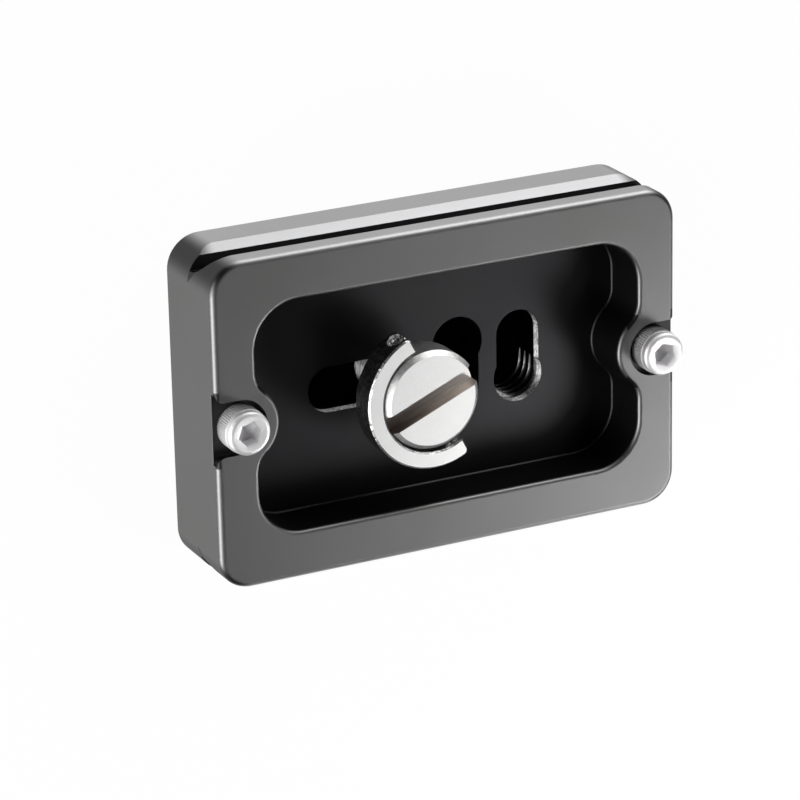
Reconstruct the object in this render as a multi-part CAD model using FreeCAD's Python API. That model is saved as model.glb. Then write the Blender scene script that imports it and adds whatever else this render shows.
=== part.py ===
import FreeCAD, Part
import math
import os
from FreeCAD import Vector

# Quick release plate of a tripod head, lying on its camera side with the pocket up.
# Millimetres. X runs along the length, Y across the width, Z is up.
# The origin is on the table, under the middle of the plate.

# Grip pads: they stand a little proud of the camera side, so the plate rests on them.
pad_proud = 0.3
pad_thickness = 1.2
pad_length, pad_width, pad_corner = 50.0, 8.0, 1.5
pad_offset_y = 13.2
pad_gap = 0.05

# Outer block.
plate_length, plate_width, plate_height = 60.0, 39.7, 12.5
plate_corner = 4.0
edge_round = 0.75
camera_side_chamfer = 0.3
plate_bottom = pad_proud
plate_top = plate_bottom + plate_height

# Dovetail groove along both long sides, depths measured from the side face.
lip_band = 2.3
flank_angle = 45.0
groove_depth = 2.5
shoulder_drop = 6.39
shoulder_inset = 0.80
bevel_drop = 7.72
root_radius = 3.84

# Bone-shaped pocket. The rims are measured from the outside to the pocket's wall.
# The pocket and both stop screws sit a little to the right of the block's middle.
end_rim, side_rim = 5.1, 5.75
milled_shift = 0.2
pocket_depth = 6.5
pocket_corner = 5.5
waist_wall_radius = 4.9
waist_blend = 3.3
pocket_floor_chamfer = 0.15
rim_round = 0.5
pocket_half_length = plate_length / 2 - end_rim
pocket_half_width = plate_width / 2 - side_rim
floor_z = plate_top - pocket_depth

# Camera thread, 1/4 inch with 20 turns to the inch. The solids stop at its outer
# diameter; the turns themselves are fine detail and are not cut here.
thread_major_r = 6.35 / 2
thread_fit = 0.05

# Slots through the pocket floor. The land is the thin wall at the pocket floor
# that the screw's neck runs in; below it the slots widen to let the thread in.
land = 1.2
slot_half_width = 2.83
slot_left_x, slot_joint_x = -12.5, 4.15
key_y = 2.7
entry_bore_r = thread_major_r + 0.13
relief_half_width = 3.5
right_key_x = 12.2
right_key_thread_stop = 0.6

# Stop screws at both ends, socket head: a wider band below a smooth domed edge. The fine
# knurl of the band is surface texture and is not cut here.
stop_from_end = 3.0
stop_r, stop_length = 1.5, 8.0
stop_head_r, stop_head_height = 2.7, 3.5
stop_band_height = 2.4
# Two short cones make the domed edge: how far out and how far below the flat face.
stop_face_r = 2.0
stop_dome_middle, stop_dome_outer = (0.4, 0.14), (0.58, 0.42)
stop_hex_flats, stop_hex_depth = 2.5, 1.6
stop_drill_depth = 0.5
stop_hex_turn = {"left": 12.0, "right": 40.0}
stop_tip_chamfer, stop_hole_spare = 0.4, 0.5
recess_r, recess_depth, recess_flare = 3.3, 0.95, 1.0
stop_x = plate_length / 2 - stop_from_end

# Camera screw. It leans on one side of its slot, within the play of its neck.
screw_x, screw_y = -3.6, -0.15
head_rise = 2.6
head_height = 4.2
head_r, head_face_chamfer, head_back_chamfer = 6.0, 0.55, 0.3
neck_r = 2.6
thread_length = 4.6
tip_chamfer = 0.6
coin_width, coin_depth, coin_angle = 2.3, 1.9, 22.8
head_top = plate_top + head_rise
head_bottom = head_top - head_height

# Folding ring and its two pins. The ring opens towards ring_angle.
ring_angle = 26.2
ring_inner_r, ring_outer_r = 6.5, 8.5
ring_shift = 0.25
ring_height = 3.6
ring_edge = 0.2
ring_drop = 0.1
arm_overrun = 1.0
arm_corner = 0.7
pin_r, pin_fit = 0.75, 0.05
pin_depth = 2.2
pin_head_r, pin_head_height, pin_cup_r, pin_cup_depth = 1.1, 0.35, 0.75, 0.3
spot_face_r, spot_face_at = 1.2, 7.95
pivot_z = head_top - ring_drop - ring_height / 2

# How far a cutting tool runs past the face that it opens.
beyond = 1.0


def closed_wire(points):
    """Wire through the points; a pair (mid, end) stands for an arc."""
    edges, here = [], points[0]
    for item in points[1:] + [points[0]]:
        if isinstance(item, tuple):
            edges.append(Part.Arc(here, item[0], item[1]).toShape())
            here = item[1]
        elif (item - here).Length > 1e-6:
            edges.append(Part.makeLine(here, item))
            here = item
    return Part.Wire(edges)


def prism(points, z0, z1):
    face = Part.Face(closed_wire(points))
    face.translate(Vector(0, 0, z0))
    return face.extrude(Vector(0, 0, z1 - z0))


def at(cx, cy, radius, degrees):
    a = math.radians(degrees)
    return Vector(cx + radius * math.cos(a), cy + radius * math.sin(a), 0)


def rounded_rectangle(half_x, half_y, r, cx=0.0, cy=0.0):
    points = []
    for sx, sy, start in ((1, -1, 270), (1, 1, 0), (-1, 1, 90), (-1, -1, 180)):
        x, y = cx + sx * (half_x - r), cy + sy * (half_y - r)
        points += [at(x, y, r, start), (at(x, y, r, start + 45), at(x, y, r, start + 90))]
    return points


def capsule(x0, y0, x1, y1, r):
    a = math.degrees(math.atan2(y1 - y0, x1 - x0))
    return [at(x0, y0, r, a - 90), at(x1, y1, r, a - 90),
            (at(x1, y1, r, a), at(x1, y1, r, a + 90)),
            at(x0, y0, r, a + 90), (at(x0, y0, r, a + 180), at(x0, y0, r, a - 90))]


def cylinder(cx, cy, r, z0, z1):
    return Part.makeCylinder(r, z1 - z0, Vector(cx, cy, z0))


def cone(cx, cy, r0, r1, z0, z1):
    return Part.makeCone(r0, r1, z1 - z0, Vector(cx, cy, z0))


def edges_at(shape, z):
    """The edges that lie flat at one height."""
    return [e for e in shape.Edges
            if abs(e.BoundBox.ZMin - z) < 1e-6 and abs(e.BoundBox.ZMax - z) < 1e-6]


def dovetail_groove():
    """Groove along the +Y side: lip flank, root radius, flat shoulder, bevel."""
    side, z_lip = plate_width / 2, plate_top - lip_band
    a = math.radians(flank_angle)
    root, shoulder = side - groove_depth, plate_top - shoulder_drop
    cy, cz = root + root_radius, shoulder
    meet = (cy - root_radius * math.sin(a), cz + root_radius * math.cos(a))
    middle = (cy - root_radius * math.cos(a / 2), cz + root_radius * math.sin(a / 2))
    x = -plate_length / 2 - beyond

    def v(y, z):
        return Vector(x, y, z)

    out = side + beyond
    profile = closed_wire([
        v(out, z_lip), v(side, z_lip), v(*meet), (v(*middle), v(root, shoulder)),
        v(side - shoulder_inset, shoulder), v(side, plate_top - bevel_drop),
        v(out, plate_top - bevel_drop)])
    return Part.Face(profile).extrude(Vector(plate_length + 2 * beyond, 0, 0))


def pocket_outline():
    """Corners with a large radius, and a waist at each end around the stop screw."""
    x_blend = pocket_half_length - waist_blend
    reach = waist_wall_radius + waist_blend
    y_blend = math.sqrt(reach ** 2 - (stop_x - x_blend) ** 2)
    aim = math.degrees(math.atan2(-y_blend, stop_x - x_blend))
    r, hx, hy = pocket_corner, pocket_half_length, pocket_half_width
    cx, cy = hx - r, hy - r
    points = []
    for s in (1, -1):
        def p(x, y, radius, degrees):
            v = at(x, y, radius, degrees)
            return Vector(s * v.x, s * v.y, 0)
        points += [
            p(cx, -cy, r, -90), (p(cx, -cy, r, -45), p(cx, -cy, r, 0)),
            p(x_blend, -y_blend, waist_blend, 0),
            (p(x_blend, -y_blend, waist_blend, -aim / 2),
             p(x_blend, -y_blend, waist_blend, -aim)),
            (p(stop_x, 0, waist_wall_radius, 180), p(x_blend, y_blend, waist_blend, aim)),
            (p(x_blend, y_blend, waist_blend, aim / 2), p(x_blend, y_blend, waist_blend, 0)),
            p(cx, cy, r, 0), (p(cx, cy, r, 45), p(cx, cy, r, 90))]
    return points


def stop_recess(side):
    """Shallow seat of a stop screw, open to the end face, with flared corners."""
    end, r, f = plate_length / 2, recess_r, recess_flare
    out = end + beyond
    points = [Vector(stop_x, -r, 0), Vector(end - f, -r, 0),
              (at(end - f, -r - f, f, 45), Vector(end, -r - f, 0)),
              Vector(out, -r - f, 0), Vector(out, r + f, 0), Vector(end, r + f, 0),
              (at(end - f, r + f, f, -45), Vector(end - f, r, 0)),
              Vector(stop_x, r, 0), (Vector(stop_x - r, 0, 0), Vector(stop_x, -r, 0))]
    seat = prism(points, plate_top - recess_depth, plate_top + beyond)
    if side < 0:
        seat.rotate(Vector(0, 0, 0), Vector(0, 0, 1), 180)
    seat.translate(Vector(milled_shift, 0, 0))
    return seat


def slot_tools():
    """Everything that is milled through the pocket floor."""
    low, high = plate_bottom - beyond, floor_z + beyond
    relief_top = floor_z - land
    tools = []
    for r, z1 in ((slot_half_width, high), (relief_half_width, relief_top)):
        tools += [prism(capsule(slot_left_x, 0, slot_joint_x, 0, r), low, z1),
                  prism(capsule(slot_joint_x, -key_y, slot_joint_x, key_y, r), low, z1)]
    tools += [cylinder(slot_joint_x, key_y, entry_bore_r, low, high),
              prism(capsule(right_key_x, -key_y, right_key_x, key_y, slot_half_width), low, high),
              prism(capsule(right_key_x, right_key_thread_stop, right_key_x, key_y,
                            relief_half_width), low, relief_top),
              cylinder(right_key_x, -key_y, thread_major_r + thread_fit, low, high)]
    return tools


def plate_body():
    body = prism(rounded_rectangle(plate_length / 2, plate_width / 2, plate_corner),
                 plate_bottom, plate_top)
    body = body.makeFillet(edge_round, edges_at(body, plate_top))
    body = body.makeChamfer(camera_side_chamfer, edges_at(body, plate_bottom))
    groove = dovetail_groove()
    body = body.cut([groove, groove.mirror(Vector(0, 0, 0), Vector(0, 1, 0))])

    pocket = prism(pocket_outline(), floor_z, plate_top + beyond)
    pocket = pocket.makeChamfer(pocket_floor_chamfer, edges_at(pocket, floor_z))
    pocket.translate(Vector(milled_shift, 0, 0))
    body = body.cut(pocket)
    half_x, half_y = (plate_length - end_rim) / 2, (plate_width - side_rim) / 2
    rim = [e for e in edges_at(body, plate_top)
           if abs(e.CenterOfMass.x) < half_x and abs(e.CenterOfMass.y) < half_y]
    body = body.makeFillet(rim_round, rim)

    tools = slot_tools()
    seat_z = plate_top - recess_depth
    for side in (1, -1):
        tools += [stop_recess(side),
                  cylinder(side * stop_x + milled_shift, 0, stop_r,
                           seat_z - stop_length - stop_hole_spare, seat_z + beyond),
                  prism(rounded_rectangle(pad_length / 2 + pad_gap, pad_width / 2 + pad_gap,
                                          pad_corner + pad_gap, 0, side * pad_offset_y),
                        plate_bottom - beyond, pad_thickness)]
    return body.cut(tools).removeSplitter()


def grip_pad(side):
    """Rubber strip let into the camera side."""
    return prism(rounded_rectangle(pad_length / 2, pad_width / 2, pad_corner,
                                   0, side * pad_offset_y), 0, pad_thickness)


def stop_screw(side):
    """Socket head screw that keeps the plate from sliding out of its clamp."""
    seat = plate_top - recess_depth
    top, band_top = seat + stop_head_height, seat + stop_band_height
    profile = [Vector(0, 0, top), Vector(stop_face_r, 0, top)]
    profile += [Vector(stop_face_r + out, 0, top - down)
                     for out, down in (stop_dome_middle, stop_dome_outer)]
    smooth_r = stop_face_r + stop_dome_outer[0]
    profile += [Vector(smooth_r, 0, band_top), Vector(stop_head_r, 0, band_top),
                     Vector(stop_head_r, 0, seat), Vector(0, 0, seat)]
    head = Part.Face(closed_wire(profile)).revolve(
        Vector(0, 0, 0), Vector(0, 0, 1), 360)
    name = "right" if side > 0 else "left"
    across = stop_hex_flats / math.sqrt(3)
    hexagon = [at(0, 0, across, stop_hex_turn[name] + 60 * i) for i in range(6)]
    socket_z = top - stop_hex_depth
    head = head.cut([prism(hexagon, socket_z, top + beyond),
                     cone(0, 0, 0, stop_hex_flats / 2, socket_z - stop_drill_depth, socket_z)])
    tip_z = seat - stop_length + stop_tip_chamfer
    shank = cylinder(0, 0, stop_r, tip_z, seat)
    point = cone(0, 0, stop_r - stop_tip_chamfer, stop_r, seat - stop_length, tip_z)
    screw = head.fuse([shank, point]).removeSplitter()
    screw.translate(Vector(side * stop_x + milled_shift, 0, 0))
    return screw


def to_pivot(shape):
    """Place a shape made around the pivot, opening towards +X, on the camera screw."""
    shape.rotate(Vector(0, 0, 0), Vector(0, 0, 1), ring_angle)
    shape.translate(Vector(screw_x, screw_y, pivot_z))
    return shape


def pin_hole(side, r, start, end):
    return Part.makeCylinder(r, end - start, Vector(0, side * start, 0), Vector(0, side, 0))


def camera_screw():
    """Slotted head, plain neck that runs in the slot, and a short camera thread."""
    mid = head_top - head_face_chamfer
    low = head_bottom + head_back_chamfer
    head = cylinder(0, 0, head_r, low, mid)
    head = head.fuse([cone(0, 0, head_r, head_r - head_face_chamfer, mid, head_top),
                      cone(0, 0, head_r - head_back_chamfer, head_r, head_bottom, low)])
    cut = Part.makeBox(2 * (head_r + beyond), coin_width, coin_depth + beyond,
                       Vector(-head_r - beyond, -coin_width / 2, head_top - coin_depth))
    cut.rotate(Vector(0, 0, 0), Vector(0, 0, 1), coin_angle)
    head = head.cut(cut)
    rod = cylinder(0, 0, thread_major_r, tip_chamfer, thread_length)
    rod = rod.fuse([cone(0, 0, thread_major_r - tip_chamfer, thread_major_r, 0, tip_chamfer),
                    cylinder(0, 0, neck_r, thread_length, head_bottom)])
    screw = head.fuse(rod).removeSplitter()
    screw.translate(Vector(screw_x, screw_y, 0))
    holes = [to_pivot(pin_hole(s, pin_r, head_r - pin_depth, head_r + beyond))
             for s in (1, -1)]
    return screw.cut(holes)


def folding_ring():
    """Open ring that folds flat around the screw head and lifts up as a handle."""
    half = ring_height / 2
    ring = cylinder(ring_shift, 0, ring_outer_r, -half, half)
    ring = ring.cut(cylinder(ring_shift, 0, ring_inner_r, -half - beyond, half + beyond))
    reach = ring_outer_r + beyond
    ring = ring.cut(Part.makeBox(reach, 2 * reach, ring_height + 2 * beyond,
                                 Vector(arm_overrun, -reach, -half - beyond)))
    middle_r = (ring_inner_r + ring_outer_r) / 2
    corners = [e for e in ring.Edges if abs(e.BoundBox.XMin - arm_overrun) < 1e-4
               and e.BoundBox.ZLength > ring_height / 2 and abs(e.CenterOfMass.y) > middle_r]
    ring = ring.makeFillet(arm_corner, corners)
    edges = [e for e in ring.Edges if abs(abs(e.CenterOfMass.z) - half) < 1e-4
             and e.BoundBox.ZLength < 1e-4]
    ring = ring.makeChamfer(ring_edge, edges)
    tools = []
    for s in (1, -1):
        tools += [pin_hole(s, pin_r + pin_fit, ring_inner_r - beyond, ring_outer_r + beyond),
                  pin_hole(s, spot_face_r, spot_face_at, ring_outer_r + beyond)]
    return to_pivot(ring.cut(tools).removeSplitter())


def ring_pin(side):
    """Riveted pin with a cupped end, tight in the screw head and loose in the ring."""
    start, face = head_r - pin_depth, spot_face_at + pin_fit
    end = face + pin_head_height
    pin = pin_hole(side, pin_r, start, face).fuse(pin_hole(side, pin_head_r, face, end))
    cup = Part.makeCone(pin_cup_r / 2, pin_cup_r, pin_cup_depth,
                        Vector(0, side * (end - pin_cup_depth), 0), Vector(0, side, 0))
    return to_pivot(pin.cut(cup).removeSplitter())


def write_parts():
    os.makedirs("parts", exist_ok=True)
    nodes = {
        "plate_body": plate_body(),
        "grip_pad_left": grip_pad(1),
        "grip_pad_right": grip_pad(-1),
        "stop_screw_left": stop_screw(-1),
        "stop_screw_right": stop_screw(1),
        "camera_screw": camera_screw(),
        "folding_ring": folding_ring(),
        "ring_pin_upper": ring_pin(1),
        "ring_pin_lower": ring_pin(-1),
    }
    for name, shape in nodes.items():
        if len(shape.Solids) == 1:
            shape = shape.Solids[0]
        box = shape.BoundBox
        print(name, shape.ShapeType, len(shape.Solids), shape.isValid(), round(shape.Volume, 2),
              [round(v, 3) for v in (box.XMin, box.YMin, box.ZMin, box.XMax, box.YMax, box.ZMax)])
        shape.exportStep("parts/" + name + ".step")


write_parts()
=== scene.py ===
"""Looks of the quick release plate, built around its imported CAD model. Metres, row frame."""

import math

import bmesh
import bpy
from mathutils import Matrix, Vector


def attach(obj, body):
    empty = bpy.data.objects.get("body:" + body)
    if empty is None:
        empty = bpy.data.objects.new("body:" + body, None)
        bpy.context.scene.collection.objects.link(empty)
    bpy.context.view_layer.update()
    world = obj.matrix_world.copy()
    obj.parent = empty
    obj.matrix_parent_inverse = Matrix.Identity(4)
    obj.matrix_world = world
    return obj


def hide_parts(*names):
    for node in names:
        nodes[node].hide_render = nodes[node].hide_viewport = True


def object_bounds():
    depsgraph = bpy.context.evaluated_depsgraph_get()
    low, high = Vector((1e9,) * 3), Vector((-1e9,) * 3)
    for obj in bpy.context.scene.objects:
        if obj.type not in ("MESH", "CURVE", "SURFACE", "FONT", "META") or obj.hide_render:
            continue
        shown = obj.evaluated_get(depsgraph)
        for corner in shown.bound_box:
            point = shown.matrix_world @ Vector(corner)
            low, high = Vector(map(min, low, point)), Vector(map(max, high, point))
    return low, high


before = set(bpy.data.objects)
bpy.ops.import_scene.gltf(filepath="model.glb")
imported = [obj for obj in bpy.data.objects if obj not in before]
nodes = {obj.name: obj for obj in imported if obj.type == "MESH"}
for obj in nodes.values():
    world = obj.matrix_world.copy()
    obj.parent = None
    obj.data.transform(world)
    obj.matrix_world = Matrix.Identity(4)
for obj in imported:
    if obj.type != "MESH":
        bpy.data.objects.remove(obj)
cad_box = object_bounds()
MM = 0.001

# Sizes of the object that the looks need, in millimetres, as in the CAD source.
PLATE_BOTTOM, PLATE_TOP = 0.3, 12.8
HALF_LENGTH, HALF_WIDTH, CORNER = 30.0, 19.85, 4.0
SHOULDER_Z, LIP_SLANT = 6.42, 9.35
SHOULDER_INSET, BEVEL_HEIGHT, BEVEL_SLOPE = 0.8, 1.35, 1.6625
POCKET_FLOOR, POCKET_SHIFT = 6.3, 0.2
POCKET_HALF = (25.5, 14.7)
EDGE_ROUND, RIM_ROUND = 0.75, 0.5
MIDDLE_SLOT_FROM, MIDDLE_SLOT_TO = 0.5, 8.6
RECESS_HALF, RECESS_FROM, RECESS_FLOOR = 4.6, 23.6, 11.85
SLOT_HALF_WIDTH = 2.83
LAND = 1.2
TAPPED_X, TAPPED_Y, TAPPED_R = 12.2, -2.7, 3.225
SCREW_X, SCREW_Y = -3.6, -0.15
THREAD_PITCH = 1.27
THREAD_MAJOR_R = 3.175
THREAD_LENGTH, THREAD_TIP_CHAMFER = 4.6, 0.6
HEAD_TOP = 15.4
COIN_WIDTH, COIN_DEPTH, COIN_ANGLE = 2.3, 1.9, 22.8
COIN_REACH = 5.4
RING_ANGLE, PIVOT_Z = 26.2, 13.5
PIN_START, PIN_FACE, PIN_END = 3.8, 8.0, 8.35
PIN_R, PIN_HEAD_R, PIN_CUP_R, PIN_CUP_DEPTH = 0.75, 1.1, 0.75, 0.3
STOP_X = {"left": -26.8, "right": 27.2}
STOP_SEAT, STOP_TOP, STOP_TIP = 11.85, 15.35, 3.85
STOP_R, STOP_HEAD_R, STOP_FACE_R = 1.5, 2.7, 2.0
STOP_KNURL_TOP = 14.25
STOP_HEX_FLATS, STOP_HEX_DEPTH = 2.5, 1.6
STOP_HEX_TURN = {"left": 12.0, "right": 40.0}
# The table under the plate is painted dark, as painted shade, up to this far inside its outline.
SHADE_INSET = 1.5

# Shares and strengths, from 0 to 1.
# painted shade on the rounded corners of the plate
CORNER_PAINTED_SHADE = 0.85
LEVEL_FACE = 0.97
TABLE_GLOW = 0.97
GLOW_IN_REFLECTIONS, GLOW_TO_CAMERA = 0.83, 1.0

# Half the side of the table, in metres.
TABLE_HALF = 1.5


# Materials

def linear(code):
    """sRGB hex to linear RGBA."""
    parts = [int(code[i:i + 2], 16) / 255 for i in (1, 3, 5)]
    return tuple(c / 12.92 if c <= 0.04045 else ((c + 0.055) / 1.055) ** 2.4
                 for c in parts) + (1.0,)


def add(tree, kind, sockets=None, **settings):
    """Adds a node. A socket takes a value, or the output of an earlier node."""
    made = tree.nodes.new(kind)
    for name, value in settings.items():
        setattr(made, name, value)
    for name, value in (sockets or {}).items():
        if isinstance(value, bpy.types.NodeSocket):
            tree.links.new(value, made.inputs[name])
        else:
            made.inputs[name].default_value = value
    return made


def new_material(name):
    mat = bpy.data.materials.new(name)
    mat.use_nodes = True
    tree = mat.node_tree
    return mat, tree, tree.nodes["Principled BSDF"]


def shades(tree, factor, low, high):
    """Colour between two hex values, as a pattern goes from its low to its high side."""
    made = add(tree, "ShaderNodeValToRGB", {"Fac": factor})
    for element, place, code in zip(made.color_ramp.elements, (0.3, 0.7), (low, high)):
        element.position = place
        element.color = linear(code)
    return made.outputs["Color"]


def between(tree, value, low, high):
    """1 where a coordinate in metres lies between two places in millimetres, else 0."""
    middle, reach = (low + high) / 2 * MM, (high - low) / 2 * MM
    return add(tree, "ShaderNodeMath", {0: value, 1: middle, 2: reach},
               operation="COMPARE").outputs[0]


def every(tree, masks):
    """1 where all the masks are 1."""
    result = masks[0]
    for mask in masks[1:]:
        result = add(tree, "ShaderNodeMath", {0: result, 1: mask},
                     operation="MULTIPLY").outputs[0]
    return result


def either(tree, first, second):
    return add(tree, "ShaderNodeMath", {0: first, 1: second}, operation="MAXIMUM").outputs[0]


def blend_colour(tree, mask, outside, inside):
    return add(tree, "ShaderNodeMix", {"Factor": mask, 6: outside, 7: inside},
               data_type="RGBA").outputs[2]


def blend_value(tree, mask, outside, inside):
    return add(tree, "ShaderNodeMix", {"Factor": mask, 2: outside, 3: inside},
               data_type="FLOAT").outputs[0]


def anodised_aluminium():
    """Aluminium, milled, bead blasted and black anodised: satin grey with a fine even grain.
    The drawn surface of the long sides and the bevel is smoother, and their lighter tones are
    painted light. The pocket, the seats of the stop screws and the groove keep the cutter's
    finish under the dye, and their near-black tone is painted shade. The round corners are
    painted darker, as painted shade, and the rounding of the rim is smoother. The walls of the
    thin lands of the slots are torn, and their bright tone is a painted highlight."""
    mat, tree, shader = new_material("blasted_black_anodised_aluminium")
    place = add(tree, "ShaderNodeTexCoord").outputs["Object"]
    x, y, z = add(tree, "ShaderNodeSeparateXYZ", {0: place}).outputs
    # bead marks of 0.12 mm, slow unevenness of the dye over about 12 mm, torn metal of 0.4 mm
    grain = add(tree, "ShaderNodeTexNoise", {"Vector": place, "Scale": 1 / (0.12 * MM),
                                             "Detail": 2.0, "Roughness": 0.6}).outputs["Fac"]
    cloud = add(tree, "ShaderNodeTexNoise", {"Vector": place, "Scale": 1 / (12 * MM),
                                             "Detail": 3.0, "Roughness": 0.5}).outputs["Fac"]
    torn = add(tree, "ShaderNodeTexNoise", {"Vector": place, "Scale": 1 / (0.4 * MM),
                                            "Detail": 3.0, "Roughness": 0.7}).outputs["Fac"]
    out_x = add(tree, "ShaderNodeMath", {0: x}, operation="ABSOLUTE").outputs[0]
    out_y = add(tree, "ShaderNodeMath", {0: y}, operation="ABSOLUTE").outputs[0]

    # the long sides get a lighter tone below: painted light
    sides = add(tree, "ShaderNodeMapRange",
                {"Value": out_y, "From Min": (HALF_WIDTH - EDGE_ROUND) * MM,
                 "From Max": (HALF_WIDTH - 0.15) * MM},
                interpolation_type="SMOOTHSTEP").outputs[0]
    # the bevel gets a lighter tone below: a painted highlight
    slanted = add(tree, "ShaderNodeMath", {0: out_y, 1: BEVEL_SLOPE, 2: z},
                  operation="MULTIPLY_ADD").outputs[0]
    on_bevel = (HALF_WIDTH - SHOULDER_INSET) * BEVEL_SLOPE + SHOULDER_Z - 0.01
    bevel = every(tree, [between(tree, slanted, on_bevel - 0.04, on_bevel + 0.04),
                         between(tree, z, SHOULDER_Z - BEVEL_HEIGHT, SHOULDER_Z)])
    in_plan = every(tree, [between(tree, x, POCKET_SHIFT - POCKET_HALF[0],
                                   POCKET_SHIFT + POCKET_HALF[0]),
                           between(tree, y, -POCKET_HALF[1], POCKET_HALF[1])])
    pocket = every(tree, [in_plan, between(tree, z, 0, PLATE_TOP - RIM_ROUND)])
    recess = every(tree, [between(tree, out_x, RECESS_FROM, 29.95),
                          between(tree, y, -RECESS_HALF, RECESS_HALF),
                          between(tree, z, RECESS_FLOOR - 0.05, PLATE_TOP - 0.02)])
    under_lip = add(tree, "ShaderNodeMath", {0: out_y, 1: z}, operation="SUBTRACT").outputs[0]
    groove = every(tree, [between(tree, under_lip, LIP_SLANT + 0.3, LIP_SLANT + 9),
                          between(tree, z, SHOULDER_Z - 0.03, PLATE_TOP)])
    # the pocket, the seats and the groove get a near-black tone below: painted shade
    milled = either(tree, either(tree, pocket, recess), groove)
    # the lands round the screw's crossing get no painted highlight; the other lands' walls get a
    # bright tone below, a painted highlight
    middle_slot = between(tree, x, MIDDLE_SLOT_FROM, MIDDLE_SLOT_TO)
    bright = add(tree, "ShaderNodeMath", {0: 1.0, 1: middle_slot}, operation="SUBTRACT").outputs[0]
    land = every(tree, [in_plan, bright,
                        between(tree, z, POCKET_FLOOR - LAND + 0.02, POCKET_FLOOR - 0.02)])

    rounding = add(tree, "ShaderNodeMapRange", {"Value": z, "From Min": (PLATE_TOP - 0.02) * MM,
                                                "From Max": (PLATE_TOP - 0.18) * MM})
    rounding = every(tree, [rounding.outputs[0],
                            between(tree, z, PLATE_TOP - EDGE_ROUND, PLATE_TOP)])
    colour, rough = shades(tree, cloud, "#70706f", "#747475"), 0.5
    rough = blend_value(tree, rounding, rough, 0.36)
    # tones below: the lighter sides and bevel are painted light, the near-black pocket, seats and
    # groove are painted shade, and the bright walls of the lands are a painted highlight
    for mask, tones, pattern, roughness in ((sides, ("#b2b2b3", "#b8b8b9"), cloud, 0.48),
                                            (bevel, ("#c6c6c7", "#cccccd"), cloud, 0.48),
                                            (milled, ("#333335", "#373738"), cloud, 0.42),
                                            (land, ("#3c3c3c", "#f4f4f4"), torn, 0.42)):
        colour = blend_colour(tree, mask, colour, shades(tree, pattern, tones[0], tones[1]))
        rough = blend_value(tree, mask, rough, roughness)
    # the rounded corners are painted darker: painted shade
    past_x = add(tree, "ShaderNodeMapRange", {"Value": out_x, "From Max": HALF_LENGTH * MM,
                                              "From Min": (HALF_LENGTH - CORNER) * MM})
    past_y = add(tree, "ShaderNodeMapRange", {"Value": out_y, "From Max": HALF_WIDTH * MM,
                                              "From Min": (HALF_WIDTH - CORNER) * MM})
    turn = every(tree, [past_x.outputs[0], past_y.outputs[0],
                        between(tree, z, 0, PLATE_TOP - 0.03)])
    turn = add(tree, "ShaderNodeMapRange", {"Value": turn, "From Min": 0.02, "From Max": 0.5,
                                            "To Max": CORNER_PAINTED_SHADE},
               interpolation_type="SMOOTHSTEP").outputs[0]
    colour = blend_colour(tree, turn, colour, linear("#2c2c2d"))
    spread = add(tree, "ShaderNodeMapRange", {"Value": grain, "To Min": -0.03,
                                              "To Max": 0.03}).outputs[0]
    rough = add(tree, "ShaderNodeMath", {0: rough, 1: spread}, operation="ADD").outputs[0]
    # every cut edge is broken by about 0.1 mm
    edge = add(tree, "ShaderNodeBevel", {"Radius": 0.1 * MM}, samples=6).outputs[0]
    # the tool that milled the lands left their wall leaning outwards and torn
    lean = add(tree, "ShaderNodeCombineXYZ", {"Z": blend_value(tree, land, 0.0, 0.9)}).outputs[0]
    edge = add(tree, "ShaderNodeVectorMath", {0: edge, 1: lean}, operation="ADD").outputs[0]
    edge = add(tree, "ShaderNodeVectorMath", {0: edge}, operation="NORMALIZE").outputs[0]
    depth = blend_value(tree, land, 0.01 * MM, 0.06 * MM)
    strength = blend_value(tree, land, 0.1, 0.6)
    bump = add(tree, "ShaderNodeBump", {"Height": grain, "Strength": strength,
                                        "Distance": depth, "Normal": edge}).outputs[0]
    tree.links.new(colour, shader.inputs["Base Color"])
    tree.links.new(rough, shader.inputs["Roughness"])
    tree.links.new(bump, shader.inputs["Normal"])
    shader.inputs["Metallic"].default_value = 1.0
    return mat


def tapped_aluminium():
    """Aluminium, tapped through the dyed skin: dark roots and bright torn crests."""
    mat, tree, shader = new_material("tapped_anodised_aluminium")
    place = add(tree, "ShaderNodeTexCoord").outputs["Object"]
    torn = add(tree, "ShaderNodeTexNoise", {"Vector": place, "Scale": 1 / (0.3 * MM),
                                            "Detail": 3.0}).outputs["Fac"]
    bump = add(tree, "ShaderNodeBump", {"Height": torn, "Strength": 0.15,
                                        "Distance": 0.03 * MM}).outputs[0]
    tree.links.new(shades(tree, torn, "#8c8c8c", "#f0f0f0"), shader.inputs["Base Color"])
    tree.links.new(bump, shader.inputs["Normal"])
    shader.inputs["Roughness"].default_value = 0.2
    shader.inputs["Metallic"].default_value = 1.0
    return mat


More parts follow.
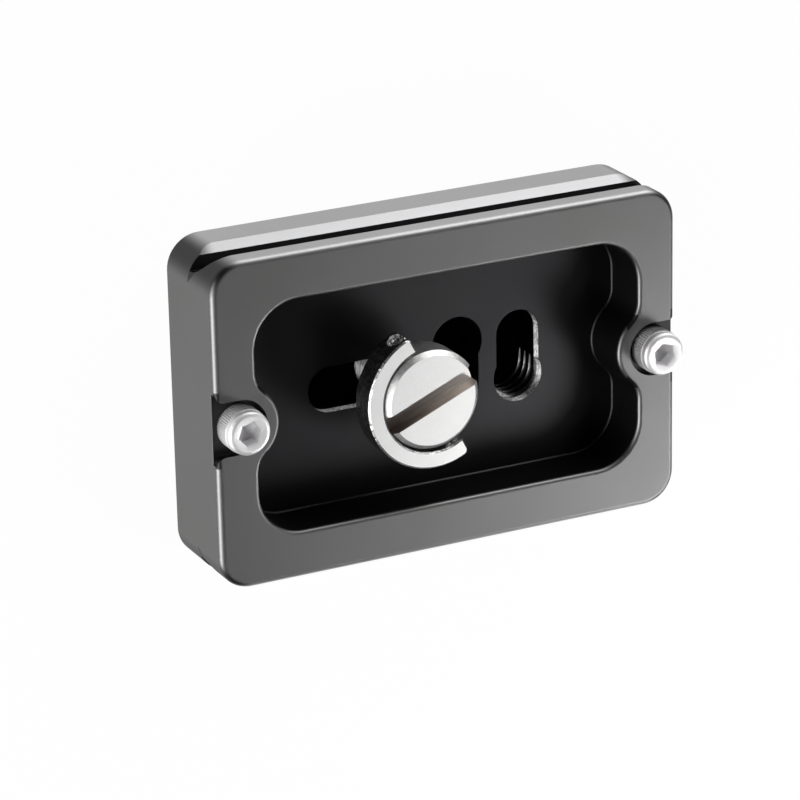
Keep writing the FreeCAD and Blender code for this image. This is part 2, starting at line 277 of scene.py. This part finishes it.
def plated_steel(name, face, side, face_rough, side_rough, pit, pit_depth, coin_slot=False):
    """Nickel-plated steel. Its flat faces are ground: near white, with a fine even grain.
    Its sides are tumbled, with shallow pits that sparkle; where their tones are set darker than
    the faces', that darkness is painted shade."""
    mat, tree, shader = new_material(name)
    coordinates = add(tree, "ShaderNodeTexCoord")
    place = coordinates.outputs["Object"]
    upright = add(tree, "ShaderNodeSeparateXYZ", {0: coordinates.outputs["Normal"]}).outputs[2]
    flat = add(tree, "ShaderNodeMath", {0: upright}, operation="ABSOLUTE").outputs[0]
    ground = add(tree, "ShaderNodeMath", {0: flat, 1: LEVEL_FACE},
                 operation="GREATER_THAN").outputs[0]
    # grinding grain of 0.15 mm
    grain = add(tree, "ShaderNodeTexNoise", {"Vector": place, "Scale": 1 / (0.15 * MM),
                                             "Detail": 4.0, "Roughness": 0.6}).outputs["Fac"]
    pits = add(tree, "ShaderNodeTexNoise", {"Vector": place, "Scale": 1 / (pit * MM),
                                            "Detail": 5.0, "Roughness": 0.65}).outputs["Fac"]
    # flat faces take the lighter tones, sides the other ones; where the sides' tones are darker,
    # that is painted shade
    colour = blend_colour(tree, ground, shades(tree, pits, side[0], side[1]),
                          shades(tree, grain, face[0], face[1]))
    rough = blend_value(tree, ground, side_rough, face_rough)
    if coin_slot:
        # the cutter's streaks run along the slot; the slot's tones are browner, darker on its
        # floor, and carry painted light that grows lighter from one end of the slot to the other
        turned = add(tree, "ShaderNodeVectorRotate",
                     {"Vector": place, "Center": (SCREW_X * MM, SCREW_Y * MM, 0),
                      "Axis": (0, 0, 1), "Angle": -math.radians(COIN_ANGLE)}).outputs[0]
        across = add(tree, "ShaderNodeSeparateXYZ", {0: turned}).outputs
        cut = every(tree, [between(tree, across[1], SCREW_Y - COIN_WIDTH / 2 - 0.03,
                                   SCREW_Y + COIN_WIDTH / 2 + 0.03),
                           between(tree, across[2], HEAD_TOP - COIN_DEPTH - 0.05,
                                   HEAD_TOP - 0.03)])
        drawn = add(tree, "ShaderNodeVectorMath", {0: turned, 1: (0.06, 1.0, 1.0)},
                    operation="MULTIPLY").outputs[0]
        streak = add(tree, "ShaderNodeTexNoise", {"Vector": drawn, "Scale": 1 / (0.25 * MM),
                                                  "Detail": 3.0}).outputs["Fac"]
        # painted light: the slot's tone grows lighter along it, towards its +x end
        along = add(tree, "ShaderNodeMapRange", {"Value": across[0],
                                                 "From Min": (SCREW_X - COIN_REACH) * MM,
                                                 "From Max": (SCREW_X + COIN_REACH) * MM}
                    ).outputs[0]
        streaks_and_painted_light = add(tree, "ShaderNodeMath", {0: streak, 1: along}, operation="ADD").outputs[0]
        streaks_and_painted_light = add(tree, "ShaderNodeMath", {0: streaks_and_painted_light, 1: 0.5}, operation="MULTIPLY").outputs[0]
        bottom = between(tree, across[2], HEAD_TOP - COIN_DEPTH - 0.1,
                         HEAD_TOP - COIN_DEPTH + 0.04)
        slot_tone = blend_colour(tree, bottom, shades(tree, streaks_and_painted_light, "#857b75", "#e2dad4"),
                                 shades(tree, streaks_and_painted_light, "#c2bab4", "#f6f2ee"))
        colour = blend_colour(tree, cut, colour, slot_tone)
        rough = blend_value(tree, cut, rough, 0.42)
    fine = add(tree, "ShaderNodeBump", {"Height": grain, "Strength": 0.12,
                                        "Distance": 0.01 * MM}).outputs[0]
    strength = blend_value(tree, ground, 1.0, 0.0)
    bump = add(tree, "ShaderNodeBump", {"Height": pits, "Strength": strength,
                                        "Distance": pit_depth * MM, "Normal": fine}).outputs[0]
    tree.links.new(colour, shader.inputs["Base Color"])
    tree.links.new(rough, shader.inputs["Roughness"])
    tree.links.new(bump, shader.inputs["Normal"])
    shader.inputs["Metallic"].default_value = 1.0
    return mat


def moulded_rubber():
    """Black rubber, moulded with a fine leather-like grain: matt, with soft dots of light."""
    mat, tree, shader = new_material("moulded_black_rubber")
    place = add(tree, "ShaderNodeTexCoord").outputs["Object"]
    cells = add(tree, "ShaderNodeTexVoronoi", {"Vector": place,
                                               "Scale": 1 / (0.6 * MM)}).outputs["Distance"]
    bump = add(tree, "ShaderNodeBump", {"Height": cells, "Strength": 0.5,
                                        "Distance": 0.08 * MM}).outputs[0]
    tree.links.new(shades(tree, cells, "#1c1c1c", "#2a2a2a"), shader.inputs["Base Color"])
    tree.links.new(bump, shader.inputs["Normal"])
    shader.inputs["Roughness"].default_value = 0.75
    return mat


ANODISED = anodised_aluminium()
TAPPED = tapped_aluminium()
SCREW_STEEL = plated_steel("turned_nickel_plated_steel", ("#f0f0ef", "#f8f8f7"),
                           ("#c6c6c5", "#e6e6e5"), 0.42, 0.45, 0.5, 0.04, coin_slot=True)
# the ring's sides: dark tones mottled with light ones, painted shade with painted glints
RING_STEEL = plated_steel("tumbled_nickel_plated_steel_painted_shade", ("#f2f2f1", "#fafaf9"),
                          ("#5c5c5c", "#e6e6e5"), 0.42, 0.25, 0.5, 0.1)
STOP_STEEL = plated_steel("headed_stainless_steel", ("#ebeaeb", "#f2f1f2"),
                          ("#e6e5e6", "#f2f1f2"), 0.6, 0.55, 0.3, 0.03)
PIN_STEEL = plated_steel("riveted_steel_pin", ("#d0d0cf", "#e2e2e1"),
                         ("#d0d0cf", "#e2e2e1"), 0.2, 0.2, 0.3, 0.08)
RUBBER = moulded_rubber()

FINISH_OF_NODE = {
    "plate_body": ANODISED,
    "grip_pad_left": RUBBER, "grip_pad_right": RUBBER,
    "stop_screw_left": STOP_STEEL, "stop_screw_right": STOP_STEEL,
    "camera_screw": SCREW_STEEL,
    "folding_ring": RING_STEEL,
    "ring_pin_upper": PIN_STEEL, "ring_pin_lower": PIN_STEEL,
}
for name, mat in FINISH_OF_NODE.items():
    nodes[name].data.materials.clear()
    nodes[name].data.materials.append(mat)


# Pieces

def new_piece(name, points, faces, mat, body, sharp_angle):
    """A mesh piece from points in millimetres; it rides on a CAD body."""
    mesh = bpy.data.meshes.new(name)
    mesh.from_pydata([Vector(p) * MM for p in points], [], faces)
    return placed(mesh, mat, body, sharp_angle)


def placed(mesh, mat, body, sharp_angle):
    """Smooth faces with sharp edges above an angle, a finish, a body and a slot."""
    mesh.validate()
    for polygon in mesh.polygons:
        polygon.use_smooth = True
    mesh.set_sharp_from_angle(angle=math.radians(sharp_angle))
    mesh.materials.clear()
    mesh.materials.append(mat)
    piece = bpy.data.objects.new(mesh.name, mesh)
    bpy.context.scene.collection.objects.link(piece)
    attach(piece, body)
    return piece


def lathe(rows, around):
    """Faces of a closed turned shape: rows of points, from one end of its axis to the other."""
    points = [point for row in rows for point in row]
    faces = []
    for j in range(len(rows) - 1):
        for i in range(around):
            k = (i + 1) % around
            faces.append((j * around + i, j * around + k,
                          (j + 1) * around + k, (j + 1) * around + i))
    faces.append(tuple(reversed(range(around))))
    last = (len(rows) - 1) * around
    faces.append(tuple(last + i for i in range(around)))
    return points, faces


def tapped_turns():
    """Turns of the tapped hole, cut off where the milled slot passes through them."""
    flank = math.tan(math.radians(30))
    crest_r, crest_half = 2.63, THREAD_PITCH / 8
    open_half = math.degrees(math.asin(SLOT_HALF_WIDTH / TAPPED_R))
    steps, behind = 64, 0.06
    points, faces = [], []
    z_low, z_high = PLATE_BOTTOM + 0.35, POCKET_FLOOR - LAND
    turn = 0
    while z_low + turn * THREAD_PITCH < z_high:
        start = len(points)
        for i in range(steps + 1):
            # angle measured clockwise from +Y, round the closed side of the hole
            phi = open_half + (360 - 2 * open_half) * i / steps
            s, c = math.sin(math.radians(phi)), math.cos(math.radians(phi))
            crest = SLOT_HALF_WIDTH if c < 0 else SLOT_HALF_WIDTH / abs(s)
            crest = min(crest, TAPPED_R - 0.001)
            z = z_low + (turn + 1 - phi / 360) * THREAD_PITCH - THREAD_PITCH / 2
            half_in = crest_half + (crest - crest_r) * flank
            half_out = crest_half + (TAPPED_R - crest_r) * flank
            for r, dz in ((TAPPED_R + behind, -half_out), (TAPPED_R, -half_out),
                          (crest, -half_in), (crest, half_in),
                          (TAPPED_R, half_out), (TAPPED_R + behind, half_out)):
                points.append((TAPPED_X + r * s, TAPPED_Y + r * c,
                               min(max(z + dz, PLATE_BOTTOM + 0.01), z_high)))
        for i in range(steps):
            for k in range(6):
                a, b = start + i * 6 + k, start + i * 6 + (k + 1) % 6
                faces.append((a, b, b + 6, a + 6))
        faces.append(tuple(start + k for k in range(6)))
        faces.append(tuple(start + steps * 6 + k for k in reversed(range(6))))
        turn += 1
    return new_piece("tapped_hole_turns", points, faces, TAPPED, "plate", 35)


def threaded_screw():
    """The camera screw with its turns cut: head and neck as in the CAD, thread as a helix."""
    mesh = bpy.data.meshes.new("camera_screw_with_thread")
    bm = bmesh.new()
    bm.from_mesh(nodes["camera_screw"].data)
    top = (THREAD_LENGTH + 0.001) * MM
    bmesh.ops.delete(bm, geom=[f for f in bm.faces if max(v.co.z for v in f.verts) < top],
                     context="FACES")
    bmesh.ops.remove_doubles(bm, verts=bm.verts, dist=1e-7)
    bmesh.ops.holes_fill(bm, edges=[e for e in bm.edges if e.is_boundary], sides=0)

    root_r = THREAD_MAJOR_R - 0.6134 * THREAD_PITCH
    around, rows = 120, 92
    runout, crest_share, flank_share = 0.35, 0.125, 0.625
    grid = []
    for j in range(rows + 1):
        z = THREAD_LENGTH * j / rows
        limit = THREAD_MAJOR_R - max(0.0, THREAD_TIP_CHAMFER - z)
        fade = max(min(1.0, (THREAD_LENGTH - z) / runout), 0.25)
        ring = []
        for i in range(around):
            phase = (z / THREAD_PITCH - i / around) % 1.0
            tooth = abs(2 * phase - 1)  # 0 at the crest, 1 at the root
            depth = min(max((tooth - crest_share) / flank_share, 0.0), 1.0)
            r = min(THREAD_MAJOR_R - depth * (THREAD_MAJOR_R - root_r) * fade, limit)
            a = 2 * math.pi * i / around
            ring.append(bm.verts.new(((SCREW_X + r * math.cos(a)) * MM,
                                      (SCREW_Y + r * math.sin(a)) * MM, z * MM)))
        grid.append(ring)
    for low, high in zip(grid, grid[1:]):
        for i in range(around):
            k = (i + 1) % around
            bm.faces.new((low[i], low[k], high[k], high[i]))
    bm.faces.new(list(reversed(grid[0])))
    bm.faces.new(grid[-1])
    bm.to_mesh(mesh)
    bm.free()
    # the normals copied with the head's corners don't fit the new faces
    kept_normals = mesh.attributes.get("custom_normal")
    if kept_normals:
        mesh.attributes.remove(kept_normals)
    piece = placed(mesh, SCREW_STEEL, "screw", 28)
    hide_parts("camera_screw")
    return piece


def knurled_screw(side):
    """Stop screw with a fine straight knurl, a domed edge and a hexagon socket."""
    teeth, per_tooth = 60, 6
    around = teeth * per_tooth
    tooth_depth = 0.14
    smooth_r = STOP_HEAD_R - 0.08
    hex_turn = math.radians(STOP_HEX_TURN[side])

    def circle(r, z):
        return [(r, z)] * around

    def toothed(z, share):
        row = []
        for i in range(around):
            wave = abs(2 * ((i / per_tooth) % 1.0) - 1)
            row.append((STOP_HEAD_R - share * tooth_depth * wave, z))
        return row

    def hexagon(z, grow=0.0):
        row = []
        for i in range(around):
            a = (2 * math.pi * i / around - hex_turn) % (math.pi / 3) - math.pi / 6
            row.append(((STOP_HEX_FLATS / 2 + grow) / math.cos(a), z))
        return row

    socket_z = STOP_TOP - STOP_HEX_DEPTH
    rows = [circle(0.05, STOP_TIP), circle(STOP_R - 0.4, STOP_TIP), circle(STOP_R, STOP_TIP + 0.4),
            circle(STOP_R, STOP_SEAT), circle(STOP_HEAD_R - 0.2, STOP_SEAT),
            toothed(STOP_SEAT + 0.12, 1.0), toothed(STOP_KNURL_TOP - 0.12, 1.0),
            toothed(STOP_KNURL_TOP, 0.4), circle(smooth_r, STOP_KNURL_TOP + 0.03)]
    dome_low = STOP_TOP - 0.45
    for step in range(7):
        # quarter of an ellipse from the smooth band to the flat face
        a = math.pi / 2 * step / 6
        rows.append(circle(STOP_FACE_R + (smooth_r - STOP_FACE_R) * math.cos(a),
                           dome_low + (STOP_TOP - dome_low) * math.sin(a)))
    rows += [circle(STOP_FACE_R - 0.1, STOP_TOP - 0.02), circle(1.62, STOP_TOP - 0.02),
             hexagon(STOP_TOP - 0.12, 0.02), hexagon(STOP_TOP - 0.2), hexagon(socket_z),
             circle(0.9, socket_z - 0.1), circle(0.05, socket_z - 0.5)]
    placed_rows = []
    for row in rows:
        turned = []
        for i, (r, z) in enumerate(row):
            a = 2 * math.pi * i / around
            turned.append((STOP_X[side] + r * math.cos(a), r * math.sin(a), z))
        placed_rows.append(turned)
    points, faces = lathe(placed_rows, around)
    piece = new_piece("stop_screw_%s_knurled" % side, points, faces, STOP_STEEL, "plate",
                      24)
    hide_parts("stop_screw_" + side)
    return piece


def riveted_pin(name, sign):
    """Pin of the ring, with an end that was spread by a punch into an uneven cup."""
    around, lobes = 64, 5
    ring_turn = math.radians(RING_ANGLE)
    axis = Vector((-math.sin(ring_turn), math.cos(ring_turn), 0)) * sign
    across, upward = Vector((axis.y, -axis.x, 0)), Vector((0, 0, 1))
    pivot = Vector((SCREW_X, SCREW_Y, PIVOT_Z))
    profile = [(0.02, PIN_START, 0), (PIN_R, PIN_START, 0), (PIN_R, PIN_FACE, 0),
               (PIN_HEAD_R - 0.08, PIN_FACE, 0), (PIN_HEAD_R, PIN_FACE + 0.08, 0.3),
               (PIN_HEAD_R - 0.03, PIN_END - 0.12, 0.7), (PIN_HEAD_R - 0.14, PIN_END - 0.02, 1),
               (PIN_CUP_R + 0.08, PIN_END - 0.03, 1), (PIN_CUP_R - 0.05, PIN_END - 0.12, 0.6),
               (PIN_CUP_R / 2, PIN_END - PIN_CUP_DEPTH, 0), (0.02, PIN_END - PIN_CUP_DEPTH, 0)]
    rows = []
    for r, along, uneven in profile:
        row = []
        for i in range(around):
            a = 2 * math.pi * i / around
            crimp = uneven * (0.5 + 0.5 * math.cos(lobes * a + 0.8 * math.sin(2 * a)))
            point = pivot + axis * (along - 0.12 * crimp)
            radius = r - 0.05 * crimp
            point += (across * math.cos(a) * sign + upward * math.sin(a)) * radius
            row.append(tuple(point))
        rows.append(row)
    points, faces = lathe(rows, around)
    piece = new_piece(name + "_riveted", points, faces, PIN_STEEL, "screw", 40)
    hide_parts(name)
    return piece


tapped_turns()
threaded_screw()
knurled_screw("left")
knurled_screw("right")
riveted_pin("ring_pin_upper", 1)
riveted_pin("ring_pin_lower", -1)


# Lights, floor and camera

def softbox(name, azimuth, elevation, distance, size, radiance):
    """A soft lamp that faces the object. Brightness is given as radiance, 1 is white."""
    lamp = bpy.data.lights.new(name, "AREA")
    lamp.shape = "RECTANGLE"
    lamp.size, lamp.size_y = size
    lamp.energy = radiance * math.pi * size[0] * size[1]
    holder = bpy.data.objects.new(name, lamp)
    bpy.context.scene.collection.objects.link(holder)
    a, e = math.radians(azimuth), math.radians(elevation)
    away = Vector((math.cos(e) * math.cos(a), math.cos(e) * math.sin(a), math.sin(e)))
    holder.location = away * distance
    holder.rotation_mode = "QUATERNION"
    holder.rotation_quaternion = (-away).to_track_quat("-Z", "Y")
    return holder


# Sizes of the lamps in metres. The five small ones together are the compact key light.
LOW, MIDDLE, HIGH = (0.47, 0.15), (0.42, 0.24), (0.5, 0.3)
SMALL, NEAR, SQUARE = (0.047, 0.047), (0.14, 0.14), (0.22, 0.22)
for name, azimuth, elevation, distance, size, radiance in (
        ("back_right_strip", 45, 7, 0.6, LOW, 2.4),
        ("back_strip", 90, 7, 0.6, LOW, 1.3),
        ("left_strip", 180, 7, 0.6, LOW, 2.6),
        ("back_right_box", 45, 25, 0.6, MIDDLE, 1.1),
        ("left_box", 180, 25, 0.6, MIDDLE, 1.9),
        ("right_top", 0, 50, 0.6, HIGH, 0.5),
        ("front_top", 270, 50, 0.6, HIGH, 0.25),
        ("left_square", 170, 20, 0.4, SQUARE, 1.2),
        ("left_low_square", 205, 15, 0.4, SQUARE, 4.0),
        ("left_middle_square", 205, 32, 0.4, SQUARE, 2.6),
        ("left_high_square", 205, 45, 0.4, SQUARE, 1.0),
        ("back_square", 64, 20, 0.4, SQUARE, 2.6),
        ("front_right_near", -45, 20, 0.3, NEAR, 1.3),
        ("key_top", -35, 38, 0.2, SMALL, 7.2),
        ("key_left", -45, 33, 0.2, SMALL, 5.2),
        ("key_middle", -35, 32, 0.2, SMALL, 5.6),
        ("key_right", -27, 33, 0.2, SMALL, 4.0),
        ("key_low", -35, 28, 0.2, SMALL, 5.0)):
    softbox(name, azimuth, elevation, distance, size, radiance)

world = bpy.data.worlds.new("studio")
bpy.context.scene.world = world
world.use_nodes = True
world.node_tree.nodes["Background"].inputs["Color"].default_value = linear("#060606")

floor_mesh = bpy.data.meshes.new("floor")
floor_mesh.from_pydata([(-TABLE_HALF, -TABLE_HALF, 0), (TABLE_HALF, -TABLE_HALF, 0),
                        (TABLE_HALF, TABLE_HALF, 0), (-TABLE_HALF, TABLE_HALF, 0)],
                       [], [(0, 1, 2, 3)])
floor = bpy.data.objects.new("floor", floor_mesh)
bpy.context.scene.collection.objects.link(floor)
floor_mat = bpy.data.materials.new("white_table")
floor_mat.use_nodes = True
tree = floor_mat.node_tree
tree.nodes.clear()
path = add(tree, "ShaderNodeLightPath")
seen = either(tree, path.outputs["Is Camera Ray"], path.outputs["Is Glossy Ray"])
# no glow under the plate, and a dark table colour there that is painted shade, where the slots
# look down on the table
spot = add(tree, "ShaderNodeTexCoord").outputs["Object"]
spot_x, spot_y = add(tree, "ShaderNodeSeparateXYZ", {0: spot}).outputs[:2]
shade_x, shade_y = [value / MM - SHADE_INSET for value in cad_box[1][:2]]
under = every(tree, [between(tree, spot_x, -shade_x, shade_x),
                     between(tree, spot_y, -shade_y, shade_y)])
outside = add(tree, "ShaderNodeMath", {0: 1.0, 1: under}, operation="SUBTRACT").outputs[0]
share = every(tree, [seen, outside])
share = add(tree, "ShaderNodeMath", {0: share, 1: TABLE_GLOW}, operation="MULTIPLY").outputs[0]
# painted shade: the table is coloured dark under the plate
white = blend_colour(tree, under, linear("#f2f2f2"), linear("#141414"))
matt = add(tree, "ShaderNodeBsdfDiffuse", {"Color": white}).outputs[0]
strength = add(tree, "ShaderNodeMapRange", {"Value": path.outputs["Is Camera Ray"],
                                            "To Min": GLOW_IN_REFLECTIONS,
                                            "To Max": GLOW_TO_CAMERA}).outputs[0]
glow = add(tree, "ShaderNodeEmission", {"Color": linear("#ffffff"),
                                        "Strength": strength}).outputs[0]
both = add(tree, "ShaderNodeMixShader", {0: share, 1: matt, 2: glow}).outputs[0]
add(tree, "ShaderNodeOutputMaterial", {"Surface": both})
floor_mesh.materials.append(floor_mat)

camera_data = bpy.data.cameras.new("camera")
camera = bpy.data.objects.new("camera", camera_data)
bpy.context.scene.collection.objects.link(camera)
right, up, forward = (Vector((0.89416, -0.02000, 0.44730)), Vector((0.17152, 0.93810, -0.30091)),
                      Vector((0.41359, -0.34578, -0.84225)))
camera.matrix_world = (Matrix.Translation((-0.200324, 0.161591, 0.407197))
                       @ Matrix((right, up, -forward)).transposed().to_4x4())
camera_data.sensor_width = 36.0
camera_data.lens = 182.27
camera_data.clip_start, camera_data.clip_end = 0.01, 10.0
bpy.context.scene.camera = camera
bpy.context.scene.view_settings.view_transform = "Standard"
